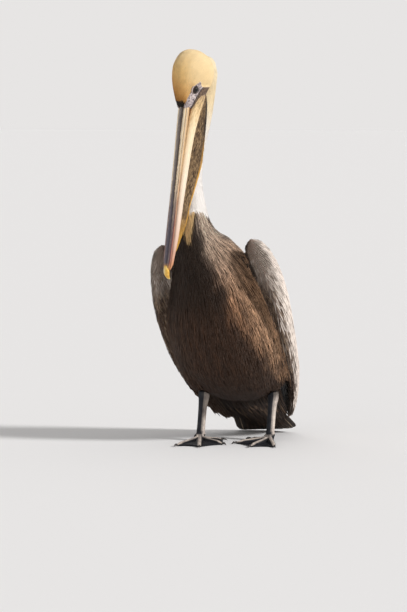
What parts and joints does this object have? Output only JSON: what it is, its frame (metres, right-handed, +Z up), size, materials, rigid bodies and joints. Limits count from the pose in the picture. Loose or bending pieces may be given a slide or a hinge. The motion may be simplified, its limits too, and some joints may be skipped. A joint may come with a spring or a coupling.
{
  "type": "brown pelican",
  "caption": "Life-size brown pelican standing at rest, neck drawn up in a curve, long hooked bill pointed down before the breast, wings folded, webbed feet flat.",
  "frame": {"origin": "on the floor under the middle of the bird's bounding box", "axes": "+Z up, -Y the way the bird's body faces, +X towards the bird's left; head and bill are turned about 28 degrees to its right"},
  "size_m": [0.2612, 0.3826, 0.7298],
  "materials": {
    "crown": "pale buff-yellow head feathers, dense and soft",
    "neck": "short white plush neck feathers",
    "breast": "blackish-brown breast and belly feathers with pale streaks",
    "wing": "silver-grey pointed wing coverts with dark edges",
    "quills": "dark brown flight and tail feathers with pale shafts",
    "bill": "satin horn, cream at the base, dusky rose towards the tip",
    "nail": "yellow nail at the bill's tip",
    "pouch": "wrinkled olive-brown skin",
    "legs": "scaly blackish-grey skin",
    "claws": "black horn",
    "eyes": "dark wet eye"
  },
  "bodies": {
    "root": {"bill_hook": "nail", "bill_lower": "bill", "bill_upper": "bill", "claw_left_hallux": "claws", "claw_left_inner": "claws", "claw_left_middle": "claws", "claw_left_outer": "claws", "claw_right_hallux": "claws", "claw_right_inner": "claws", "claw_right_middle": "claws", "claw_right_outer": "claws", "eye_left": "eyes", "eye_right": "eyes", "foot_left": "legs", "foot_right": "legs", "head": "crown", "neck_lower": "neck", "neck_middle": "neck", "neck_upper": "neck", "pouch": "pouch", "tail": "quills", "tarsus_left": "legs", "tarsus_right": "legs", "thigh_left": "breast", "thigh_right": "breast", "trunk": "breast", "wing_left_arm": "wing", "wing_left_primaries": "quills", "wing_left_secondaries": "wing", "wing_right_arm": "wing", "wing_right_primaries": "quills", "wing_right_secondaries": "wing"}
  },
  "joints": []
}
